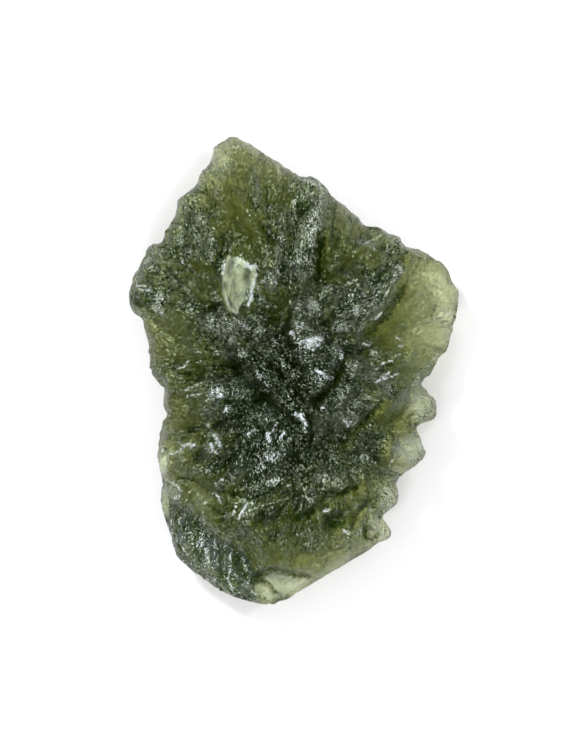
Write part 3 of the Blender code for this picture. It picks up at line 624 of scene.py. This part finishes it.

# %% [markdown]
# ## Painted glints and white bruises
# Splintered glass scatters white, and glints of light on the etched skin are painted in the same
# white. Both lie in thin streaks along the broken edges, in a few soft clouds on the core, and as a
# dust of specks over all the rough ground. Each streak is drawn as a bent line. The mark says how
# dense the white is; the shader breaks it up finely.

# %% White bruises
# line, half width, how white: painted glints and white splinters
STREAKS = [
    ([(-3.2, 4.6), (-3.0, 5.4), (-2.9, 6.2), (-2.75, 6.8)], 0.16, 1.0),
    ([(-3.9, 7.75), (-3.4, 7.5), (-2.9, 7.3)], 0.26, 1.0),
    ([(-4.95, 7.7), (-4.85, 6.4)], 0.18, 0.8), ([(-4.9, 5.5), (-4.6, 4.5), (-4.1, 4.1)], 0.1, 0.8),
    ([(-4.2, 7.9), (-4.0, 6.9)], 0.1, 0.6),
    ([(0.4, 2.0), (0.9, 2.15), (1.4, 2.3), (1.95, 2.15)], 0.14, 1.0),
    ([(0.8, 1.8), (1.2, 1.9), (1.7, 1.85)], 0.12, 0.9), ([(1.1, 1.65), (1.35, 1.45)], 0.1, 0.9),
    ([(-0.25, 2.7), (-0.1, 2.6)], 0.14, 0.9), ([(3.2, 1.6), (3.25, 1.3), (3.4, 0.9)], 0.12, 0.9),
    ([(1.6, 0.0), (2.0, -0.15)], 0.12, 0.9), ([(2.1, -0.4), (2.8, -0.5)], 0.12, 0.7),
    ([(4.4, 0.6), (4.2, 0.1), (4.1, -0.4)], 0.13, 0.5),
    ([(0.1, -3.0), (0.45, -3.2), (0.85, -3.7)], 0.2, 1.0),
    ([(0.65, -3.8), (0.85, -4.3)], 0.08, 0.9), ([(-0.25, -3.9), (-0.05, -4.35)], 0.08, 0.8),
    ([(-1.1, -4.7), (-0.9, -4.6), (-0.65, -4.2)], 0.08, 1.0),
    ([(-1.9, -4.4), (-1.7, -4.9)], 0.16, 0.9), ([(-1.6, -4.3), (-1.25, -3.7)], 0.12, 0.7),
    ([(-3.3, -4.5), (-2.9, -4.2)], 0.1, 0.7), ([(-2.6, -5.9), (-2.3, -6.3)], 0.07, 0.9),
    ([(-2.0, -6.1), (-1.5, -6.2)], 0.09, 0.8), ([(-2.35, -6.5), (-2.1, -6.8)], 0.09, 1.0),
    ([(0.6, -6.1), (0.95, -6.25)], 0.1, 1.0), ([(3.45, -3.45), (3.7, -3.6)], 0.1, 0.8),
    ([(3.8, -3.9), (4.0, -3.5)], 0.1, 0.8), ([(2.0, -2.55), (2.1, -2.55)], 0.1, 0.9),
    ([(-0.7, -1.4), (-0.1, -2.3)], 0.06, 0.6),
    ([(-2.6, -0.1), (-2.2, -0.6), (-1.9, -1.1)], 0.1, 0.6),
    ([(-2.3, 0.4), (-2.0, 0.0)], 0.07, 0.6), ([(7.3, 2.35), (7.5, 2.25)], 0.11, 1.0),
    ([(7.5, 1.8), (7.7, 1.7)], 0.08, 0.9), ([(4.9, 1.95), (5.3, 1.75), (5.5, 2.0)], 0.11, 0.9),
    ([(5.8, 0.1), (6.3, 0.55), (7.0, 0.75)], 0.06, 0.9), ([(6.8, 0.95), (7.5, 1.15)], 0.06, 0.8),
    ([(5.7, -0.85), (6.1, -0.55), (6.7, -0.1)], 0.09, 0.9),
    ([(6.2, -0.65), (6.8, -0.4), (7.3, -0.2)], 0.07, 0.8), ([(5.75, 3.65), (6.2, 4.1)], 0.12, 0.8),
    ([(6.4, 5.2), (6.65, 5.75)], 0.08, 0.8), ([(4.8, 5.4), (4.95, 5.45)], 0.1, 0.8),
    ([(3.6, 6.0), (4.4, 6.4)], 0.1, 0.7), ([(-8.1, 0.2), (-7.75, 0.3), (-7.5, 0.7)], 0.08, 1.0),
    ([(-6.9, 1.3), (-6.7, 1.35)], 0.08, 1.0), ([(-6.75, 0.65), (-6.7, 0.65)], 0.08, 0.9),
    ([(-7.7, -1.35), (-6.9, -1.0), (-6.3, -0.8)], 0.1, 0.7),
    ([(-7.6, -1.8), (-6.7, -1.65)], 0.1, 0.7), ([(-5.8, -1.6), (-5.2, -1.3)], 0.13, 0.8),
    ([(-5.4, -1.75), (-5.1, -1.7)], 0.12, 1.0), ([(-6.2, -2.2), (-5.9, -1.7)], 0.07, 0.7),
    ([(-4.8, -2.5), (-4.75, -2.9)], 0.09, 0.9), ([(-3.5, -2.9), (-2.9, -2.5)], 0.05, 0.7),
    ([(-6.1, -3.8), (-5.7, -4.4), (-5.4, -4.9), (-5.2, -5.3)], 0.15, 0.9),
    ([(-5.9, -5.1), (-5.75, -5.5), (-5.45, -5.8)], 0.11, 1.0),
    ([(-5.15, -5.3), (-5.15, -5.8)], 0.06, 0.8),
    ([(-8.9, -5.95), (-8.2, -5.75), (-7.7, -5.3), (-7.3, -5.1)], 0.09, 0.9),
    ([(-7.3, -5.4), (-7.0, -5.2)], 0.15, 1.0), ([(-8.25, -5.0), (-7.8, -5.3)], 0.06, 0.8),
    ([(-9.35, -5.7), (-9.2, -5.75)], 0.13, 1.0),
    ([(-4.1, 3.6), (-3.6, 3.2), (-3.3, 3.0)], 0.14, 0.6),
    ([(-5.7, -7.7), (-5.5, -8.1)], 0.06, 0.7),
    ([(-5.9, -8.4), (-5.4, -8.8), (-5.2, -9.3)], 0.09, 0.9),
    ([(-9.1, -7.8), (-8.3, -8.1), (-8.0, -8.6)], 0.09, 0.7),
    ([(-8.5, -9.0), (-8.1, -8.9)], 0.12, 0.8),
    ([(-3.8, -9.0), (-2.6, -8.7), (-0.2, -8.0)], 0.06, 0.6),
    ([(-3.3, -9.9), (-2.0, -9.4), (-0.5, -9.0)], 0.05, 0.6),
    ([(-3.9, -10.4), (-3.3, -9.3)], 0.14, 0.8), ([(-4.3, -10.2), (-4.1, -9.4)], 0.08, 0.8),
    ([(2.1, -9.9), (2.5, -9.85)], 0.1, 1.0), ([(3.5, -11.3), (3.9, -11.5)], 0.13, 0.9),
    ([(2.2, -7.2), (2.1, -7.8)], 0.07, 0.8), ([(8.85, -4.8), (9.0, -5.6)], 0.09, 0.7),
    ([(8.6, -3.3), (8.7, -3.25)], 0.09, 0.8), ([(6.9, -6.4), (7.0, -6.35)], 0.09, 0.9),
    ([(-6.5, -11.5), (-6.5, -12.5)], 0.07, 0.7), ([(-6.2, -12.6), (-6.1, -14.0)], 0.07, 0.8),
    ([(-4.5, -13.0), (-4.6, -14.5)], 0.08, 0.7), ([(-4.7, -14.8), (-4.4, -15.5)], 0.16, 0.6),
    ([(-7.9, -12.6), (-7.6, -13.1)], 0.08, 0.8), ([(-5.6, -11.9), (-5.7, -13.3)], 0.06, 0.6),
    ([(-3.1, -14.2), (-3.3, -15.3)], 0.06, 0.6), ([(-7.3, -11.4), (-7.2, -12.3)], 0.06, 0.6),
    ([(-6.35, -9.3), (-6.2, -9.3)], 0.09, 0.9), ([(-11.2, 6.1), (-10.2, 5.95)], 0.08, 0.9),
    ([(-11.0, 5.75), (-10.1, 5.65)], 0.06, 0.8), ([(-7.95, 7.7), (-7.85, 7.7)], 0.1, 0.9),
    ([(0.7, 13.5), (1.6, 13.2), (2.0, 12.9)], 0.12, 0.6), ([(0.2, 7.6), (1.0, 8.1)], 0.07, 0.7),
    ([(-0.6, 7.5), (0.1, 7.7)], 0.07, 0.7), ([(-2.2, 10.5), (-1.8, 10.2), (-1.7, 9.8)], 0.16, 0.5),
    ([(-1.1, 13.3), (-1.1, 14.6)], 0.08, 0.5), ([(4.3, 8.3), (4.7, 8.9), (6.2, 9.6)], 0.06, 0.7),
    ([(6.6, 8.45), (6.6, 8.95)], 0.07, 0.7), ([(5.1, -5.9), (5.3, -6.4), (5.8, -6.5)], 0.05, 0.7),
    ([(8.7, 5.2), (8.9, 5.2)], 0.07, 0.8), ([(8.4, 3.0), (8.6, 3.0)], 0.07, 0.7),
]
# middle x, y, half length, half width, direction in degrees, how white: painted highlights and
# white bruises
CLOUDS = [
    (1.5, 4.5, 0.6, 0.45, 90, 0.45), (1.2, 1.95, 1.0, 0.6, 10, 0.6),
    (1.9, -0.5, 1.4, 0.9, 20, 0.3), (-4.7, 3.2, 2.0, 0.7, 10, 0.28),
    (-2.0, -3.1, 1.0, 0.7, 35, 0.22), (-1.8, -5.0, 1.4, 0.7, 60, 0.2),
    (-3.9, -1.3, 1.1, 0.8, 20, 0.24), (-5.4, -1.6, 0.9, 0.5, 20, 0.3),
    (-1.4, -7.8, 0.7, 0.5, 30, 0.6), (-3.5, -9.0, 0.6, 0.3, 10, 0.6),
    (4.4, -2.3, 0.6, 0.5, 0, 0.3), (2.4, -2.6, 0.5, 0.3, 0, 0.3), (-5.6, -4.8, 1.2, 0.5, 110, 0.3),
    (-7.4, -5.4, 0.8, 0.4, 30, 0.3), (-9.3, -6.4, 1.0, 0.4, 85, 0.55),
    (-7.0, -1.5, 1.0, 0.5, 10, 0.25), (1.4, 12.6, 1.2, 0.9, 0, 0.3),
    (-5.3, 15.0, 1.6, 0.7, 80, 0.2), (-2.7, 12.1, 1.3, 0.6, 90, 0.2),
    (7.2, 9.1, 0.9, 0.6, 60, 0.25), (4.4, -7.2, 0.5, 0.5, 0, 0.35), (5.2, 4.8, 2.6, 1.6, 25, 0.16),
    (-6.2, -12.8, 2.6, 1.2, 130, 0.12), (-1.6, 0.9, 1.6, 0.8, 0, 0.14),
    (6.6, -9.2, 0.9, 0.8, 0, 0.2), (6.2, -11.2, 0.7, 0.9, 0, 0.25), (9.0, -5.3, 0.4, 0.9, 0, 0.3),
    (11.0, 3.2, 0.8, 1.0, 0, 0.2), (7.4, 1.9, 0.8, 0.6, 0, 0.25),
]
print("white streaks and clouds:", len(STREAKS), len(CLOUDS))

# %% [markdown]
# ## Milk and slate
# Some patches scatter softly instead of in specks. The window of the leaf-shaped chip, the two
# lens-shaped chips at the bottom tip and the thin fingers look milky. Weathered facets on the
# core and most of the foot look slate grey. Each is an oval or a closed outline.

# %% Milk and slate
WINDOW = [
    (-4.7, 8.1), (-4.4, 8.0), (-3.9, 7.9), (-3.5, 7.7), (-2.9, 7.6), (-2.7, 7.2), (-2.8, 6.6),
    (-3.0, 6.0), (-3.1, 5.2), (-3.7, 4.9), (-4.0, 4.4), (-4.0, 4.05), (-4.5, 4.2), (-4.8, 4.6),
    (-4.95, 5.3), (-5.05, 6.0), (-5.0, 6.7), (-4.8, 7.2),
]
# two lens-shaped fresh chips at the bottom tip
LENSES = [
    [(-2.85, -15.3), (-2.3, -15.1), (-1.7, -15.5), (-1.2, -16.0), (-1.85, -16.2), (-2.6, -15.9)],
    [(-2.2, -14.8), (-1.5, -14.45), (-0.3, -14.75), (1.1, -14.75), (0.3, -15.3), (-0.75, -15.9),
     (-1.5, -15.45)],
]
# middle x, y, half length, half width, direction in degrees, how grey
SLATE = [
    (-5.2, -1.9, 1.1, 0.8, 10, 0.6), (-3.8, -1.2, 0.9, 0.6, 30, 0.5),
    (-2.1, -3.1, 0.9, 0.7, 30, 0.6), (1.25, 4.6, 0.5, 0.45, 0, 0.6),
    (2.9, 0.9, 0.4, 0.8, -10, 0.5), (1.7, -0.6, 1.1, 0.7, -35, 0.5),
    (-1.5, -5.6, 1.2, 0.9, 0, 0.5), (-4.7, 3.3, 1.6, 0.5, 5, 0.35), (-1.6, 0.9, 0.8, 0.5, 0, 0.3),
    (-3.8, -7.0, 1.0, 0.6, 40, 0.35), (0.8, 7.8, 1.0, 0.4, 30, 0.3), (3.4, -3.2, 0.6, 0.8, 0, 0.3),
]
# middle x, y, half length, half width, direction in degrees, how milky
PALE = [
    (9.2, -2.4, 1.2, 1.2, 0, 0.2), (8.3, -5.6, 1.3, 1.1, 0, 0.2), (6.8, -9.1, 0.9, 0.9, 0, 0.2),
    (6.2, -11.2, 1.1, 1.0, 0, 0.18), (11.2, 3.0, 0.8, 2.0, 0, 0.07),
    (-5.3, 15.2, 1.6, 0.9, 80, 0.08), (-1.0, -15.2, 2.0, 0.7, 10, 0.22),
    (-9.4, -6.5, 1.1, 0.4, 85, 0.35), (7.4, -7.1, 0.9, 0.6, 40, 0.12),
    (-6.6, -9.4, 1.4, 0.8, 80, 0.05), (-8.6, -8.5, 0.7, 0.6, 0, 0.1),
    (2.6, -14.4, 2.6, 0.5, 35, 0.06), (9.8, 4.2, 2.4, 3.6, -10, 0.05),
    (-9.2, -9.6, 0.4, 1.8, 4, 0.3),
]
print("slate and milky ovals:", len(SLATE), len(PALE))

# %% [markdown]
# ## How white and how milky
# The dust of specks, painted sparkle and etched white, comes in clusters and stays out of notches,
# seams and furrows. Over it lie the streaks and clouds of painted glint and white bruise, long
# scratches on the foot, and faint scratches on the thin rim. Milk and slate share one mark, since
# no
# place has both: above nothing it is milky, below it is slate.

# %% How white and how milky
SPECKS, ROUGH_SPECKS = 0.08, 0.16
FOOT_SCRATCHES, RIM_SCRATCHES, LENS_MILK = 0.7, 0.3, 0.24
clusters = np.clip(0.75 + 2.6 * grain(0.9, 51.0) + 0.9 * bands, 0.0, 2.2)
# the dust of specks: painted sparkle and etched white over the rough ground
white = (SPECKS + ROUGH_SPECKS * frost) * clusters
white = white * (1 - 0.7 * wide_notch) * (1 - 0.4 * near_notch)
white = white * (1 - 0.6 * seams) * (1 - 0.8 * foot)
white = white * np.clip(0.8 + 2 * normals[:, 2], 0.35, 1)
# streaks and clouds: painted glints and highlights, and white bruises
for line, width, share in STREAKS:
    near = line_distance(line) / (width * wobble)
    white = np.maximum(white, share * np.exp(-near ** 4) * above)
for shape in CLOUDS:
    white = np.maximum(white, shape[5] * oval(shape) * above)
scratches = np.clip(3.0 * streaks(0.24, 1.8, 111.0, 7) - 0.2, 0, 1)
white = np.maximum(white, FOOT_SCRATCHES * foot * scratches * above)
white = np.maximum(white, RIM_SCRATCHES * (1 - foot) * (1 - thick) * scratches * above)
white = np.clip(white * (1 - 0.8 * furrow) - 0.25 * furrow, -0.3, 1)
pale = patch(WINDOW, 0.12) * np.clip(0.28 + 0.35 * grain(0.7, 41.0), 0.05, 1)
for shape in PALE:
    pale = np.maximum(pale, shape[5] * oval(shape) * facing_up)
for outline in LENSES:
    pale = np.maximum(pale, LENS_MILK * patch(outline, 0.12))
pale = pale * (1 - furrow)
slate = np.maximum(0.15 * rough, foot * np.clip(0.35 + 2.2 * streaks(0.5, 2.4, 141.0, 7), 0, 0.9))
mottle = np.clip(1 + 2.0 * grain(0.5, 131.0), 0, 1.5)
for shape in SLATE:
    slate = np.maximum(slate, shape[5] * oval(shape) * mottle)
pale = pale - (pale < 0.05) * slate * above
print("white share:", round(float(white.mean()), 3))

# %% [markdown]
# ## The moved points go back
# Everything so far was worked out on lists of numbers. Here the points return to the mesh, kept
# within the solid's own box. Four marks and the run of the glass go with them as attributes that
# the material can read: how rough, how dark, how white, and how milky or slate grey.

# %% The moved points go back
low, high = np.array(cad_box[0]) / MM, np.array(cad_box[1]) / MM
points = np.clip(points, low, high)
shard.data.vertices.foreach_set("co", (points * MM).astype(np.float32).ravel())
shard.data.update()
shard.data.shade_smooth()
for name, values in (("frost", frost), ("dark", dark), ("white", white), ("pale", pale)):
    mark = shard.data.attributes.new(name, "FLOAT", "POINT")
    mark.data.foreach_set("value", values.astype(np.float32))
ways = shard.data.attributes.new("run", "FLOAT_VECTOR", "POINT")
ways.data.foreach_set("vector", np.column_stack([run, 0 * x]).astype(np.float32).ravel())
print("marks on the mesh:", [mark.name for mark in shard.data.attributes if mark.domain == "POINT"])

# %% [markdown]
# ## The glass
# A clear shader with a plain absorbing volume gives the colour by depth: the thin shoulder is
# pale, the core is nearly black-green. Absorption takes blue most, then red, then green. Paint
# on the surface would give the same green to thin and thick places. The mirror is tinted a
# little, so that steep walls don't show the white card as a grey rim.

# %% The glass
ABSORPTION, PASSES = 392.0, (0.612, 0.654, 0.024, 1)
BENDING, ETCHING, MIRROR_TINT = 1.49, 0.28, (0.8, 1.0, 0.62, 1)
glass = bpy.data.materials.new("moldavite glass")
glass.use_nodes = True
tree = glass.node_tree
shader = tree.nodes["Principled BSDF"]
shader.inputs["IOR"].default_value = BENDING
shader.inputs["Roughness"].default_value = ETCHING
shader.inputs["Specular Tint"].default_value = MIRROR_TINT
shader.inputs["Metallic"].default_value = 0
volume = tree.nodes.new("ShaderNodeVolumeAbsorption")
volume.inputs["Color"].default_value = PASSES
volume.inputs["Density"].default_value = ABSORPTION
tree.links.new(volume.outputs["Volume"], tree.nodes["Material Output"].inputs["Volume"])
shard.data.materials.append(glass)
print("absorption per metre:", ABSORPTION)

# %% [markdown]
# ## Fine etching
# The mesh is too coarse for the finest grain, so that is worked out by the shader. It looks up
# soft noise at three places one behind the other along the run of the glass, which drags every
# spot out into a short streak. Three grains share the work: the coarse one bumps the surface and
# so breaks up the lamps, the crests of the fine one turn white as painted glints where the white
# mark allows it, and the middle one puts dark flecks on rough ground.

# %% Fine etching
def math_node(operation, first, second=0.0, third=0.0, clamp=False):
    """One sum in the shader, with sockets or plain values as its parts."""
    made = tree.nodes.new("ShaderNodeMath")
    made.operation = operation
    made.use_clamp = clamp
    for slot, value in enumerate((first, second, third)):
        if isinstance(value, (int, float)):
            made.inputs[slot].default_value = value
        else:
            tree.links.new(value, made.inputs[slot])
    return made.outputs[0]


def mark_of(name, output="Fac"):
    """The socket that reads a mark of the points."""
    made = tree.nodes.new("ShaderNodeAttribute")
    made.attribute_name = name
    return made.outputs[output]


place = tree.nodes.new("ShaderNodeTexCoord").outputs["Object"]
way = mark_of("run", "Vector")


def dragged_grain(scale, drag):
    """Soft noise dragged out along the run of the glass, about one half on average."""
    total = 0.0
    for step in (-1, 0, 1):
        spot = tree.nodes.new("ShaderNodeVectorMath")
        spot.operation = "MULTIPLY_ADD"
        tree.links.new(way, spot.inputs[0])
        spot.inputs[1].default_value = (drag * step,) * 3
        tree.links.new(place, spot.inputs[2])
        soft = tree.nodes.new("ShaderNodeTexNoise")
        soft.inputs["Scale"].default_value = scale
        soft.inputs["Detail"].default_value = 0
        tree.links.new(spot.outputs[0], soft.inputs["Vector"])
        total = math_node("MULTIPLY_ADD", soft.outputs["Fac"], 1 / 3, total)
    return total


def ramp(value, low, high):
    """Nothing below one end, one above the other, soft in between."""
    made = tree.nodes.new("ShaderNodeMapRange")
    made.interpolation_type = "SMOOTHSTEP"
    tree.links.new(value, made.inputs["Value"])
    made.inputs["From Min"].default_value = low
    made.inputs["From Max"].default_value = high
    return made.outputs["Result"]


# spots per metre, how far in metres each spot is dragged
coarse_grain = dragged_grain(4200.0, 0.00008)
fine_grain = dragged_grain(12500.0, 0.00004)
middle_grain = dragged_grain(8500.0, 0.00007)

BUMP_HEIGHT = 0.0002
bump = tree.nodes.new("ShaderNodeBump")
bump.inputs["Distance"].default_value = BUMP_HEIGHT
tree.links.new(coarse_grain, bump.inputs["Height"])
tree.links.new(bump.outputs["Normal"], shader.inputs["Normal"])
print("shader nodes so far:", len(tree.nodes))

# %% [markdown]
# ## White and dark specks
# The white mark, painted glints and white splinters, lowers the level above which a crest of the
# grain turns white: a faint mark gives a few specks, a full one a solid patch. White glass
# scatters, so its share of clear transmission goes down, and so does that of milk and slate. The
# dark mark, clay and painted shade, and the dark flecks tint the skin instead. Specks are dusty
# green on the thin glass and turn a cool white where the ground is dark or the white is dense, like
# painted glints and fresh splinters.

# %% White and dark specks
SPECK_RAMP, SPECK_GAIN = (0.645, 0.69), 0.26
SPECK_SHARE, WHITE_SHARE, SLATE_SHARE = 0.42, 0.32, 0.65
white_mark = mark_of("white")
specks = ramp(math_node("MULTIPLY_ADD", white_mark, SPECK_GAIN, fine_grain), *SPECK_RAMP)
speck_share = math_node("MULTIPLY_ADD", white_mark, WHITE_SHARE, SPECK_SHARE)
share = math_node("MULTIPLY", specks, speck_share)
share = math_node("MAXIMUM", share, mark_of("pale"))
slate_mark = math_node("MULTIPLY", mark_of("pale"), -1.0, clamp=True)
share = math_node("MAXIMUM", share, math_node("MULTIPLY", slate_mark, SLATE_SHARE))
tree.links.new(math_node("SUBTRACT", 1.0, share), shader.inputs["Transmission Weight"])
print("shader nodes with the specks:", len(tree.nodes))

# %% [markdown]
# ## The skin's colours
# The tints are laid over each other from the clear glass up: clay and painted shade, slate, the
# specks of painted glint and splinter, and the pale green of the milky windows. Mixing them by the
# marks in one row keeps it plain which one wins.

# %% The skin's colours
FLECK_RAMP, FLECK_SHARE, ROUGH_FLECKS = (0.53, 0.59), 0.3, 0.75
fleck_share = math_node("MULTIPLY_ADD", mark_of("frost"), ROUGH_FLECKS, FLECK_SHARE)
flecks = math_node("MULTIPLY", ramp(middle_grain, *FLECK_RAMP), fleck_share)


def blend(first, second, factor):
    """Two colours mixed by a socket; each is a socket or plain red, green and blue."""
    made = tree.nodes.new("ShaderNodeMix")
    made.data_type = "RGBA"
    tree.links.new(factor, made.inputs["Factor"])
    for name, colour in (("A", first), ("B", second)):
        socket = [s for s in made.inputs if s.name == name and s.type == "RGBA"][0]
        if isinstance(colour, tuple):
            socket.default_value = (*colour, 1)
        else:
            tree.links.new(colour, socket)
    return [s for s in made.outputs if s.type == "RGBA"][0]


CLEAR = (0.99, 1.0, 0.97)
# clay and painted shade share one dark green
CLAY_AND_SHADE = (0.014, 0.037, 0.003)
SLATE_GREY = (0.055, 0.07, 0.078)
# speck colours: painted glints and white splinters, green on thin glass, cool white on dense or
# dark ground
GREEN_SPECK_AND_GLINT = (0.62, 0.72, 0.40)
SPLINTER_AND_GLINT = (0.90, 0.95, 1.0)
WINDOW_GREEN = (0.78, 0.86, 0.58)
tint = math_node("ADD", flecks, mark_of("dark"), clamp=True)
skin = blend(CLEAR, CLAY_AND_SHADE, tint)
skin = blend(skin, SLATE_GREY, slate_mark)
density = math_node("MULTIPLY_ADD", white_mark, 1.2, -0.27)
coolness = math_node("MULTIPLY_ADD", mark_of("dark"), 0.45, density, clamp=True)
skin = blend(skin, blend(GREEN_SPECK_AND_GLINT, SPLINTER_AND_GLINT, coolness), specks)
milky = math_node("MULTIPLY_ADD", mark_of("pale"), 5.0, -0.75, clamp=True)
skin = blend(skin, WINDOW_GREEN, milky)
tree.links.new(skin, shader.inputs["Base Color"])
print("shader nodes:", len(tree.nodes))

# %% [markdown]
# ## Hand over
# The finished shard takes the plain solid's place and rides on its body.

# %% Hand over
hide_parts("moldavite")
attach(shard, "root")
